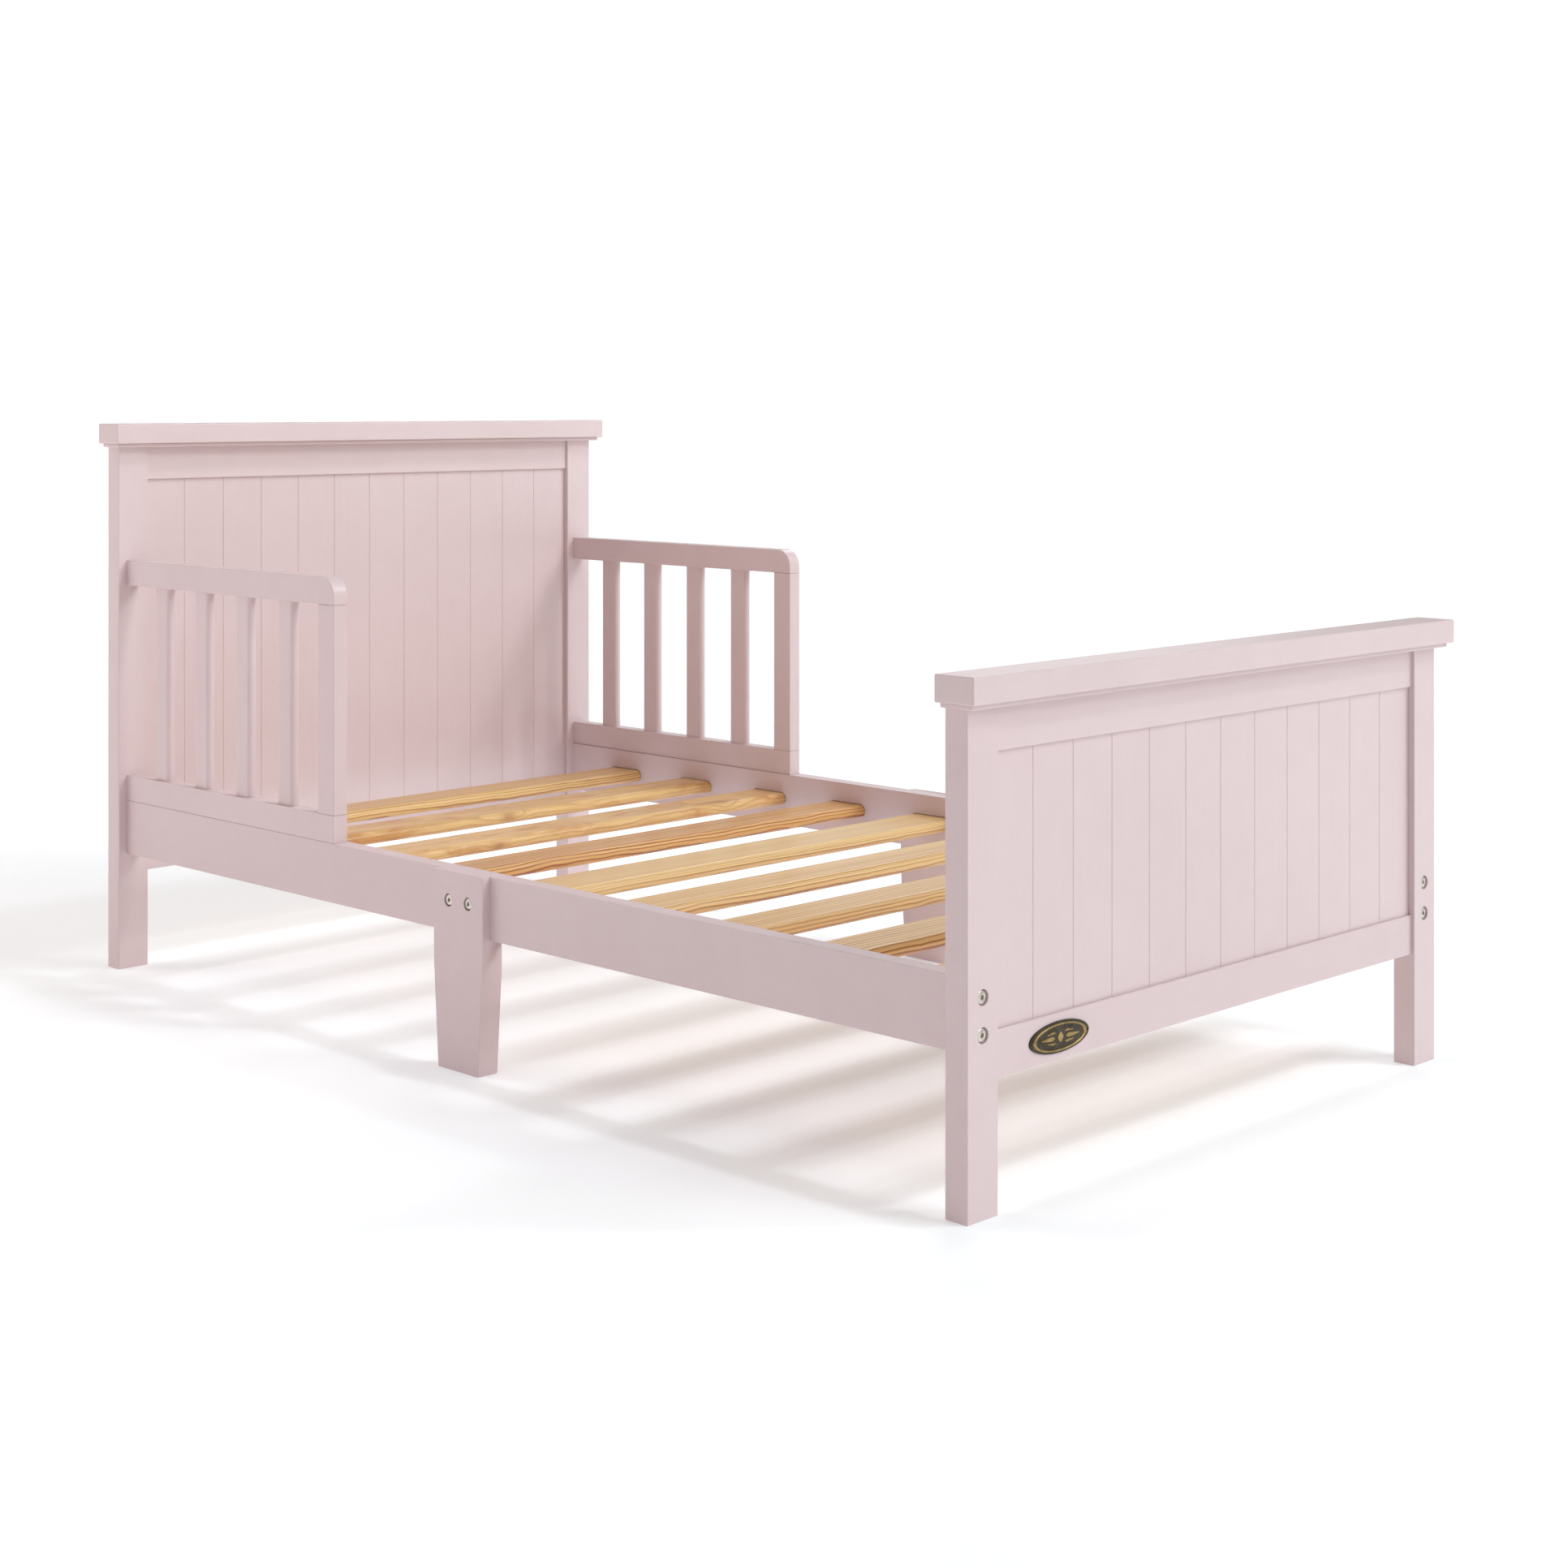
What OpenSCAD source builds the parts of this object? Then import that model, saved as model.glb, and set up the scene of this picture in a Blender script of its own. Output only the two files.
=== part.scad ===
// Toddler bed with tongue-and-groove look end boards, two half-length guard
// rails, two center legs and nine slats let into the side rails.
// Millimetres, +Z up, +Y towards the headboard, X across the bed. The origin
// is on the floor, in the middle of the whole outline.

/* [Mattress bay] */
// Clear width between the inner faces of the side rails
clear_w = 699; // [690:1:712]
// Clear length between the posts of the two end boards
clear_l = 1339; // [1325:1:1350]

/* [End boards] */
// Width of a post across the bed
post_w = 40; // [36:1:50]
// Depth of a post along the bed
post_d = 25; // [23:0.5:30]
// How far a post stands outside the side rail
post_out = 10.5; // [8:0.5:20]
// Height of the headboard over its cap
head_h = 669.3; // [600:0.1:760]
// Height of the footboard over its cap
foot_h = 466.4; // [420:0.1:560]
// Thickness of the cap board
cap_t = 24.5; // [18:0.5:30]
// Overhang of the cap at each end
cap_side = 12; // [6:1:20]
// Overhang of the cap on the front face
cap_front = 17; // [10:1:24]
// Overhang of the cap on the back face
cap_back = 2.5; // [1:0.5:6]
// Thickness of the moulding board under the cap
mold_t = 4.5; // [3:0.5:8]
// Overhang of the moulding board at each end
mold_side = 7; // [3:1:10]
// Overhang of the moulding board on the front face
mold_front = 11; // [4:1:14]
// Height of the top rail below the moulding
top_rail_h = 40; // [30:1:60]
// Height of the bottom rail's lower edge over the floor
bottom_rail_z = 116.9; // [90:0.1:140]
// Height of the bottom rail
bottom_rail_h = 41.2; // [36:0.1:60]
// Thickness of the top and bottom rails
end_rail_t = 17; // [14:0.5:19]
// Thickness of the panel
panel_t = 8; // [6:0.5:10]
// How far the panel's face lies behind the front face of the posts
panel_in = 7.4; // [6:0.1:9]
// Number of planks shown by the V grooves
planks = 12; // [6:1:14]
// Width of a V groove at the face
vee_w = 1.6; // [1.2:0.2:4]
// Depth of a V groove
vee_d = 0.8; // [0.6:0.1:2.2]

/* [Side rails and slats] */
// Thickness of a side rail
rail_t = 20; // [17:0.5:22]
// Height of a side rail
rail_h = 66; // [60:1:90]
// Height of a side rail's lower edge over the floor
rail_z = 141; // [120:1:160]
// Width of a slat
slat_w = 62; // [45:1:70]
// Width of the middle slat, which lies between the center legs
mid_slat_w = 72; // [55:1:80]
// Thickness of a slat
slat_t = 15; // [12:0.5:16]
// Height of a slat's underside over the floor
slat_z = 167.2; // [160:0.1:175]
// Open gap between two slats
slat_gap = 79.4; // [60:0.1:88]
// Gap between the headboard post and the first slat
first_gap = 83; // [60:0.5:90]
// Depth of the slots that hold the slat ends
slot_d = 7.5; // [5:0.5:8]

/* [Guard rails] */
// Thickness of the guard rail frame
guard_t = 18.5; // [15:0.5:19]
// Height of the guard rail's two long rails
guard_rail_h = 30.7; // [26:0.1:36]
// Height of the guard rail's top over the floor
guard_top = 501.5; // [420:0.5:560]
// Length of the guard rail
guard_l = 434.5; // [400:0.5:600]
// Width of the upright at the free end
guard_post_w = 30; // [26:1:36]
// Radius of the free top corner
guard_r = 22; // [5:1:26]
// Width of a spindle
spindle_w = 31.5; // [24:0.5:32]
// Thickness of a spindle
spindle_t = 11; // [9:0.5:13]
// Distance from one spindle to the next
spindle_pitch = 86.7; // [80:0.1:88]
// Distance from the headboard post to the first spindle's middle
spindle_first = 72.6; // [65:0.1:80]

/* [Center legs] */
// Width of a center leg at the side rail
leg_w = 82; // [70:1:90]
// Width of a center leg at the floor
leg_foot_w = 66.6; // [50:0.2:80]
// Height at which a center leg starts to taper
leg_taper_z = 112; // [80:1:130]
// Thickness of a center leg
leg_t = 26; // [22:0.1:30]
// How far a center leg stands outside the side rail
leg_out = 9.7; // [8:0.1:12]

/* [Hardware] */
// Distance between the two bolts of a joint
bolt_pitch = 32.4; // [26:0.2:40]
// Radius of a bolt's shank
bolt_r = 2.9; // [2:0.1:3]
// Radius of a bolt's head
bolt_head_r = 6.2; // [5:0.1:6.5]
// Length of the oval name plate
plate_w = 83.4; // [60:0.2:90]
// Height of the oval name plate
plate_h = 28; // [24:0.2:34]

/* [Hidden] */

PAINT = [0.88, 0.80, 0.81];
PINE = [0.87, 0.71, 0.47];
BEECH = [0.80, 0.66, 0.47];
STEEL = [0.75, 0.75, 0.75];
ZINC = [0.66, 0.64, 0.58];
BRONZE = [0.45, 0.36, 0.24];

e = 0.1;                                    // play of a glued joint, each side
ym = (cap_front - cap_back) / 2;            // middle of the mattress bay
rin = clear_w / 2;                          // side rail, inner face
rout = rin + rail_t;                        // side rail, outer face
rmid = (rin + rout) / 2;
pout = rout + post_out;                     // post, outer face
pin = pout - post_w;                        // post, inner face
yh = ym + clear_l / 2;                      // headboard, front face
yf = ym - clear_l / 2 - post_d;             // footboard, front face
rail_top = rail_z + rail_h;
rail_mid = rail_z + rail_h / 2;
panel_v = panel_in;                         // front face to the panel's face
end_rail_v = (post_d - end_rail_t) / 2;     // front face to the rail's face
house = 8;                                  // depth of the panel's housings
tenon = 18;                                 // length of the rails' tenons
dowel_r = 4;
insert_r = 4;
gout = rout;                                // guard rail, outer face
gmid = gout - guard_t / 2;
guard_y = yh - guard_l;                     // guard rail, free end
guard_low = rail_top + guard_rail_h;        // guard bottom rail, top edge
guard_up = guard_top - guard_rail_h;        // guard top rail, lower edge
spindle_in = 8;                             // spindle, length in each rail
spindle_back = 4.5;                         // spindle, set back from the face
spindle_x = gout - spindle_back - spindle_t / 2;
bolt_z = [rail_mid - bolt_pitch / 2, rail_mid + bolt_pitch / 2];
leg_bolt_z = rail_top - 30.3;
leg_top = rail_top;
leg_y = ym + 1.1;                           // center leg, middle
guard_bolt_y = [yh - 187, yh - 328.5];      // between slats
guard_dowel_y = [yh - 44.5, guard_y + 20];
cap_dowel_x = [-(pin + post_w / 2), -120, 120, pin + post_w / 2];
slat_end = slot_d - 0.4;                    // slat, length inside a slot
slat_relief = 0.5;                          // slat, end lowered on top
plate_x = -251.8;
plate_z = 137.2;

function slat_width(i) = i == 4 ? mid_slat_w : slat_w;
function slat_head_y(i) = yh - first_gap - i * (slat_w + slat_gap)
  - (i > 4 ? mid_slat_w - slat_w : 0);
function slat_mid_y(i) = slat_head_y(i) - slat_width(i) / 2;
function spindle_y(i) = yh - spindle_first - i * spindle_pitch;

// outline of a strip of width w and thickness t with round long edges
function strip(w, t, n = 10) = concat(
  [for (k = [0:n]) let (a = -90 + 180 * k / n)
    [w / 2 - t / 2 + t / 2 * cos(a), t / 2 * sin(a)]],
  [for (k = [0:n]) let (a = 90 + 180 * k / n)
    [-w / 2 + t / 2 + t / 2 * cos(a), t / 2 * sin(a)]]);

// outline of an ellipse
function oval(w, h, n = 48) =
  [for (k = [0:n - 1]) [w / 2 * cos(360 * k / n), h / 2 * sin(360 * k / n)]];

// box from its two corners
module box(a, b) { translate(a) cube(b - a); }

// outline in the Y-Z plane, extruded along X from x0 to x1
module along_x(x0, x1) {
  translate([x0, 0, 0]) rotate([90, 0, 90]) linear_extrude(x1 - x0) children();
}

// bore along +Y, +Z or +X
module bore_y(x, y0, y1, z, r) {
  translate([x, y0, z]) rotate([-90, 0, 0]) cylinder(r = r, h = y1 - y0, $fn = 48);
}
module bore_z(x, y, z0, z1, r) {
  translate([x, y, z0]) cylinder(r = r, h = z1 - z0, $fn = 48);
}
module bore_x(x0, x1, y, z, r) {
  translate([x0, y, z]) rotate([0, 90, 0]) cylinder(r = r, h = x1 - x0, $fn = 48);
}

// ---------------------------------------------------------------- end boards
// right-hand post; y0 is the front face, h the board's height, head says
// which face the bolts enter from
module post(y0, h, head) {
  zt = h - cap_t - mold_t;
  color(PAINT) difference() {
    box([pin, y0, 0], [pout, y0 + post_d, zt]);
    // housing for the panel, and a mortise for each rail
    box([pin - 1, y0 + panel_v - e, bottom_rail_z + bottom_rail_h - house - 1],
        [pin + house, y0 + panel_v + panel_t + e, zt - top_rail_h + house + 1]);
    box([pin - 1, y0 + panel_v - e, bottom_rail_z + 4 - e],
        [pin + tenon + 0.5, y0 + panel_v + panel_t + e,
         bottom_rail_z + bottom_rail_h - house + e]);
    box([pin - 1, y0 + panel_v - e, zt - top_rail_h + house - e],
        [pin + tenon + 0.5, y0 + panel_v + panel_t + e, zt - 6 + e]);
    // bolts into the side rail, with their counterbores
    for (z = bolt_z) {
      bore_y(rmid, y0 - 1, y0 + post_d + 1, z, 3.3);
      if (head) bore_y(rmid, y0 + post_d - 4.5, y0 + post_d + 1, z, 7.1);
      else bore_y(rmid, y0 - 1, y0 + 4.5, z, 7.1);
    }
    // bolt into the guard rail
    if (head) {
      bore_y(gmid, y0 - 1, y0 + post_d + 1, guard_top - guard_rail_h / 2, 3.3);
      bore_y(gmid, y0 + post_d - 4.5, y0 + post_d + 1,
             guard_top - guard_rail_h / 2, 7.1);
    }
    // dowel into the cap
    bore_z(pin + post_w / 2, y0 + post_d / 2, zt - 25, zt + 1, dowel_r + e);
  }
}

module end_top_rail(y0, h) {
  zt = h - cap_t - mold_t;
  z0 = zt - top_rail_h;
  color(PAINT) difference() {
    union() {
      box([-pin, y0 + end_rail_v, z0], [pin, y0 + post_d - end_rail_v, zt]);
      box([-pin - tenon, y0 + panel_v, z0 + house],
          [pin + tenon, y0 + panel_v + panel_t, zt - 6]);
    }
    box([-pin - 1, y0 + panel_v - e, z0 - 1],
        [pin + 1, y0 + panel_v + panel_t + e, z0 + house]);
    for (x = [cap_dowel_x[1], cap_dowel_x[2]])
      bore_z(x, y0 + post_d / 2, zt - 20, zt + 1, dowel_r + e);
  }
}

module end_bottom_rail(y0) {
  z1 = bottom_rail_z + bottom_rail_h;
  color(PAINT) difference() {
    union() {
      box([-pin, y0 + end_rail_v, bottom_rail_z],
          [pin, y0 + post_d - end_rail_v, z1]);
      box([-pin - tenon, y0 + panel_v, bottom_rail_z + 4],
          [pin + tenon, y0 + panel_v + panel_t, z1 - house]);
    }
    box([-pin - 1, y0 + panel_v - e, z1 - house],
        [pin + 1, y0 + panel_v + panel_t + e, z1 + 1]);
    // holes for the name plate's pins, on the footboard only
    if (y0 < 0) for (s = [-1, 1])
      bore_y(plate_x + s * (plate_w / 2 - 2.6), y0, y0 + end_rail_v + 8.5,
             plate_z, 0.9);
  }
}

// one board with V grooves on both faces, its edges in the housings
module panel(y0, h) {
  zt = h - cap_t - mold_t;
  z0 = bottom_rail_z + bottom_rail_h - house + 0.5;
  z1 = zt - top_rail_h + house - 0.5;
  xe = pin + house - 0.5;
  pitch = 2 * pin / planks;
  front = [for (i = [1:planks - 1]) let (x = -pin + i * pitch)
    each [[x - vee_w / 2, 0], [x, vee_d], [x + vee_w / 2, 0]]];
  back = [for (i = [1:planks - 1]) let (x = pin - i * pitch)
    each [[x + vee_w / 2, panel_t], [x, panel_t - vee_d],
          [x - vee_w / 2, panel_t]]];
  color(PAINT) translate([0, y0 + panel_v, z0]) linear_extrude(z1 - z0)
    polygon(concat([[-xe, 0]], front, [[xe, 0], [xe, panel_t]], back,
                   [[-xe, panel_t]]));
}

module cap_molding(y0, h) {
  z0 = h - cap_t - mold_t;
  color(PAINT) difference() {
    box([-pout - mold_side, y0 - mold_front, z0],
        [pout + mold_side, y0 + post_d, z0 + mold_t]);
    for (x = cap_dowel_x)
      bore_z(x, y0 + post_d / 2, z0 - 1, z0 + mold_t + 1, dowel_r + e);
  }
}

module cap(y0, h) {
  color(PAINT) difference() {
    box([-pout - cap_side, y0 - cap_front, h - cap_t],
        [pout + cap_side, y0 + post_d + cap_back, h]);
    for (x = cap_dowel_x)
      bore_z(x, y0 + post_d / 2, h - cap_t - 1, h - cap_t + 15, dowel_r + e);
  }
}

module cap_dowels(y0, h) {
  zt = h - cap_t - mold_t;
  for (i = [0:3]) color(BEECH)
    translate([cap_dowel_x[i], y0 + post_d / 2,
               zt - (i == 0 || i == 3 ? 24.5 : 19.5)])
      cylinder(r = dowel_r, h = (i == 0 || i == 3 ? 24.5 : 19.5) + mold_t + 14.5,
               $fn = 32);
}

// ------------------------------------------------------- side rails and slats
module side_rail() {
  color(PAINT) difference() {
    box([rin, yf + post_d, rail_z], [rout, yh, rail_top]);
    // slots for the slats: the slat lies on the slot's lower edge
    for (i = [0:8])
      along_x(rin - 1, rin + slot_d)
        translate([slat_mid_y(i), slat_z + (slat_t + 0.5) / 2])
          polygon(strip(slat_width(i) + 1.2, slat_t + 0.5));
    // inserts for the end boards' bolts, at both ends
    for (z = bolt_z) {
      bore_y(rmid, yh - 22, yh + 1, z, insert_r + e);
      bore_y(rmid, yh - 34, yh - 21, z, 3.3);
      bore_y(rmid, yf + post_d - 1, yf + post_d + 22, z, insert_r + e);
      bore_y(rmid, yf + post_d + 21, yf + post_d + 34, z, 3.3);
    }
    // inserts for the center leg's bolts
    for (s = [-1, 1])
      bore_x(rout - 10, rout + 1, leg_y + s * bolt_pitch / 2, leg_bolt_z,
             insert_r + e);
    // bolts and dowels of the guard rail
    for (y = guard_bolt_y) {
      bore_z(gmid, y, rail_z - 1, rail_top + 1, 3.3);
      bore_z(gmid, y, rail_z - 1, rail_z + 22, 5.6);
    }
    for (y = guard_dowel_y) bore_z(gmid, y, rail_top - 18, rail_top + 1, dowel_r + e);
  }
}

module slat(i) {
  xe = rin + slat_end;
  xs = rin - 0.6;
  w = slat_width(i);
  color(PINE) difference() {
    along_x(-xe, xe) translate([slat_mid_y(i), slat_z + slat_t / 2])
      polygon(strip(w, slat_t));
    for (s = [0, 1]) mirror([s, 0, 0])
      box([xs, slat_mid_y(i) - w, slat_z + slat_t - slat_relief],
          [xe + 1, slat_mid_y(i) + w, slat_z + slat_t + 1]);
  }
}

// ---------------------------------------------------------------- center legs
module center_leg() {
  color(PAINT) difference() {
    along_x(rout + leg_out - leg_t, rout + leg_out) translate([leg_y, 0])
      polygon([[-leg_foot_w / 2, 0], [leg_foot_w / 2, 0],
               [leg_w / 2, leg_taper_z], [leg_w / 2, leg_top],
               [-leg_w / 2, leg_top], [-leg_w / 2, leg_taper_z]]);
    // rebate that the side rail sits in
    box([rin - 20, leg_y - leg_w, rail_z], [rout, leg_y + leg_w, rail_top + 10]);
    for (s = [-1, 1]) {
      bore_x(rout - 1, rout + leg_out + 1, leg_y + s * bolt_pitch / 2,
             leg_bolt_z, 3.3);
      bore_x(rout + leg_out - 4.2, rout + leg_out + 1,
             leg_y + s * bolt_pitch / 2, leg_bolt_z, 6.8);
    }
  }
}

// ---------------------------------------------------------------- guard rails
module spindle_mortise(i, z) {
  translate([spindle_x, spindle_y(i), z]) linear_extrude(spindle_in + 1.3)
    rotate(90) polygon(strip(spindle_w + 2 * e, spindle_t + 2 * e));
}

module guard_top_rail() {
  n = 14;
  color(PAINT) difference() {
    along_x(gout - guard_t, gout)
      polygon(concat(
        [[guard_y, guard_up], [yh, guard_up], [yh, guard_top]],
        [for (k = [0:n]) let (a = 90 + 90 * k / n)
          [guard_y + guard_r + guard_r * cos(a),
           guard_top - guard_r + guard_r * sin(a)]]));
    for (i = [0:3]) spindle_mortise(i, guard_up - 1);
    box([gmid - 4 - e, guard_y + 5 - e, guard_up - 1],
        [gmid + 4 + e, guard_y + guard_post_w - 5 + e, guard_up + 9.3]);
    bore_y(gmid, yh - 22, yh + 1, guard_top - guard_rail_h / 2, insert_r + e);
  }
}

module guard_bottom_rail() {
  color(PAINT) difference() {
    box([gout - guard_t, guard_y, rail_top], [gout, yh, guard_low]);
    for (i = [0:3]) spindle_mortise(i, guard_low - spindle_in - 0.3);
    box([gmid - 4 - e, guard_y + 5 - e, guard_low - 9.3],
        [gmid + 4 + e, guard_y + guard_post_w - 5 + e, guard_low + 1]);
    for (y = guard_bolt_y)
      bore_z(gmid, y, rail_top - 1, rail_top + 20, insert_r + e);
    for (y = guard_dowel_y)
      bore_z(gmid, y, rail_top - 1, rail_top + 16, dowel_r + e);
  }
}

module guard_end_post() {
  color(PAINT) union() {
    box([gout - guard_t, guard_y, guard_low],
        [gout, guard_y + guard_post_w, guard_up]);
    box([gmid - 4, guard_y + 5, guard_low - 9],
        [gmid + 4, guard_y + guard_post_w - 5, guard_up + 9]);
  }
}

module guard_spindle(i) {
  color(PAINT)
    translate([spindle_x, spindle_y(i), guard_low - spindle_in])
      linear_extrude(guard_up - guard_low + 2 * spindle_in)
        rotate(90) polygon(strip(spindle_w, spindle_t));
}

// ------------------------------------------------------------------- hardware
// button-head bolt with a hexagon socket: the head's seat is at z = 0, the
// head is above it and the shank of length l goes down
module bolt(l, hr = bolt_head_r, hh = 3.5) {
  color(STEEL) difference() {
    union() {
      translate([0, 0, -l]) cylinder(r = bolt_r, h = l, $fn = 32);
      rotate_extrude($fn = 48)
        polygon([[0, -0.5], [bolt_r, -0.5], [bolt_r, 0], [hr, 0],
                 [hr, hh * 0.42], [hr * 0.93, hh * 0.68], [hr * 0.80, hh * 0.86],
                 [hr * 0.62, hh], [0, hh]]);
    }
    translate([0, 0, hh - 2.6]) cylinder(r = 2.3, h = 4, $fn = 6);
  }
}

// sleeve nut: its mouth is at z = 0 and it goes down by l
module insert(l) {
  color(ZINC) difference() {
    translate([0, 0, -l]) cylinder(r = insert_r, h = l, $fn = 32);
    translate([0, 0, -l - 1]) cylinder(r = 3, h = l + 2, $fn = 32);
  }
}

module both_sides() { for (s = [0, 1]) mirror([s, 0, 0]) children(); }

module headboard_bolts() {
  both_sides() for (z = bolt_z)
    translate([rmid, yh + post_d - 4.5, z]) rotate([-90, 0, 0]) bolt(40);
}
module footboard_bolts() {
  both_sides() for (z = bolt_z)
    translate([rmid, yf + 4.5, z]) rotate([90, 0, 0]) bolt(40);
}
module center_leg_bolts() {
  both_sides() for (s = [-1, 1])
    translate([rout + leg_out - 4.2, leg_y + s * bolt_pitch / 2, leg_bolt_z])
      rotate([0, 90, 0]) bolt(13.5, 5.9, 3.4);
}
module guard_rail_bolts() {
  both_sides() {
    translate([gmid, yh + post_d - 4.5, guard_top - guard_rail_h / 2])
      rotate([-90, 0, 0]) bolt(40);
    for (y = guard_bolt_y) translate([gmid, y, rail_z + 22])
      rotate([180, 0, 0]) bolt(60, 5.2, 4.5);
  }
}
module side_rail_inserts() {
  both_sides() for (z = bolt_z) {
    translate([rmid, yh, z]) rotate([-90, 0, 0]) insert(21.5);
    translate([rmid, yf + post_d, z]) rotate([90, 0, 0]) insert(21.5);
  }
}
module center_leg_inserts() {
  both_sides() for (s = [-1, 1])
    translate([rout, leg_y + s * bolt_pitch / 2, leg_bolt_z])
      rotate([0, 90, 0]) insert(9.7);
}
module guard_rail_inserts() {
  both_sides() {
    translate([gmid, yh, guard_top - guard_rail_h / 2]) rotate([-90, 0, 0])
      insert(21.5);
    for (y = guard_bolt_y) translate([gmid, y, rail_top]) rotate([180, 0, 0])
      insert(19.5);
  }
}
module guard_rail_dowels() {
  both_sides() for (y = guard_dowel_y) color(BEECH)
    translate([gmid, y, rail_top - 17.5]) cylinder(r = dowel_r, h = 33, $fn = 32);
}

// oval plate with a raised ring, and a plain lozenge between two bars
module name_plate() {
  t = 1.6;
  color(BRONZE) translate([plate_x, yf + end_rail_v, plate_z])
    rotate([90, 0, 0]) difference() {
      linear_extrude(2.8) polygon(oval(plate_w, plate_h));
      // margin outside the ring
      translate([0, 0, t]) linear_extrude(3) difference() {
        square([plate_w + 10, plate_h + 10], center = true);
        polygon(oval(plate_w - 9.4, plate_h - 4.4));
      }
      // field inside the ring
      translate([0, 0, t]) linear_extrude(3) difference() {
        polygon(oval(plate_w - 16.6, plate_h - 8.2));
        polygon([[-5, 0], [0, -3.4], [5, 0], [0, 3.4]]);
        for (s = [-1, 1]) polygon([[s * 8, 0], [s * 10, 1.3], [s * 24, 0.4],
                                   [s * 24, -0.4], [s * 10, -1.3]]);
      }
      for (s = [-1, 1]) translate([s * (plate_w / 2 - 2.6), 0, -1])
        cylinder(r = 0.9, h = 6, $fn = 24);
    }
}
module name_plate_pins() {
  for (s = [-1, 1]) color(BRONZE)
    translate([plate_x + s * (plate_w / 2 - 2.6), yf + end_rail_v - 1.6, plate_z])
      rotate([90, 0, 0]) rotate_extrude($fn = 24)
        polygon([[0, -9.4], [0.8, -8.6], [0.8, 0], [1.3, 0], [1.15, 0.35],
                 [0.7, 0.55], [0, 0.6]]);
}

mirror([1, 0, 0]) post(yh, head_h, true);  // headboard_left_post
post(yh, head_h, true);  // headboard_right_post
end_top_rail(yh, head_h);  // headboard_top_rail
end_bottom_rail(yh);  // headboard_bottom_rail
panel(yh, head_h);  // headboard_panel
cap_molding(yh, head_h);  // headboard_cap_molding
cap(yh, head_h);  // headboard_cap
mirror([1, 0, 0]) post(yf, foot_h, false);  // footboard_left_post
post(yf, foot_h, false);  // footboard_right_post
end_top_rail(yf, foot_h);  // footboard_top_rail
end_bottom_rail(yf);  // footboard_bottom_rail
panel(yf, foot_h);  // footboard_panel
cap_molding(yf, foot_h);  // footboard_cap_molding
cap(yf, foot_h);  // footboard_cap
mirror([1, 0, 0]) side_rail();  // left_side_rail
side_rail();  // right_side_rail
mirror([1, 0, 0]) center_leg();  // left_center_leg
center_leg();  // right_center_leg
slat(0);  // slat_1
slat(1);  // slat_2
slat(2);  // slat_3
slat(3);  // slat_4
slat(4);  // slat_5
slat(5);  // slat_6
slat(6);  // slat_7
slat(7);  // slat_8
slat(8);  // slat_9
mirror([1, 0, 0]) guard_top_rail();  // left_guard_top_rail
mirror([1, 0, 0]) guard_bottom_rail();  // left_guard_bottom_rail
mirror([1, 0, 0]) guard_end_post();  // left_guard_end_post
mirror([1, 0, 0]) guard_spindle(0);  // left_guard_spindle_1
mirror([1, 0, 0]) guard_spindle(1);  // left_guard_spindle_2
mirror([1, 0, 0]) guard_spindle(2);  // left_guard_spindle_3
mirror([1, 0, 0]) guard_spindle(3);  // left_guard_spindle_4
guard_top_rail();  // right_guard_top_rail
guard_bottom_rail();  // right_guard_bottom_rail
guard_end_post();  // right_guard_end_post
guard_spindle(0);  // right_guard_spindle_1
guard_spindle(1);  // right_guard_spindle_2
guard_spindle(2);  // right_guard_spindle_3
guard_spindle(3);  // right_guard_spindle_4
headboard_bolts();
footboard_bolts();
center_leg_bolts();
guard_rail_bolts();
side_rail_inserts();
center_leg_inserts();
guard_rail_inserts();
cap_dowels(yh, head_h);  // headboard_cap_dowels
cap_dowels(yf, foot_h);  // footboard_cap_dowels
guard_rail_dowels();
name_plate();
name_plate_pins();
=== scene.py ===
import math
import random

import bmesh
import bpy
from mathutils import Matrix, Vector


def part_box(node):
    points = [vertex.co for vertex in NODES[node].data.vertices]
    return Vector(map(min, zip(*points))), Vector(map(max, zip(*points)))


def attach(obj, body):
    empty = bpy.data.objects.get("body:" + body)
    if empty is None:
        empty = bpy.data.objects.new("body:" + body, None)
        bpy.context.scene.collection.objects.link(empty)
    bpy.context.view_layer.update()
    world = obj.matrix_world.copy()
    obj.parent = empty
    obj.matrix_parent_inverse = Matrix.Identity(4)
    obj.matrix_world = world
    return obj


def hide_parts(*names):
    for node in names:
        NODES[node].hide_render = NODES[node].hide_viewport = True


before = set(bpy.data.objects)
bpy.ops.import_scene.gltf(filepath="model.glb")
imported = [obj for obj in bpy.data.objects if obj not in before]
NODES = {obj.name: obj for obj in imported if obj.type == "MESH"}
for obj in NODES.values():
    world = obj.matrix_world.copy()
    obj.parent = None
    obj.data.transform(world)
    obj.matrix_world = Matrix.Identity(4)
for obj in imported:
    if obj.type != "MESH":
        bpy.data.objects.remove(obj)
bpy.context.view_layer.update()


MM = 0.001


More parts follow.
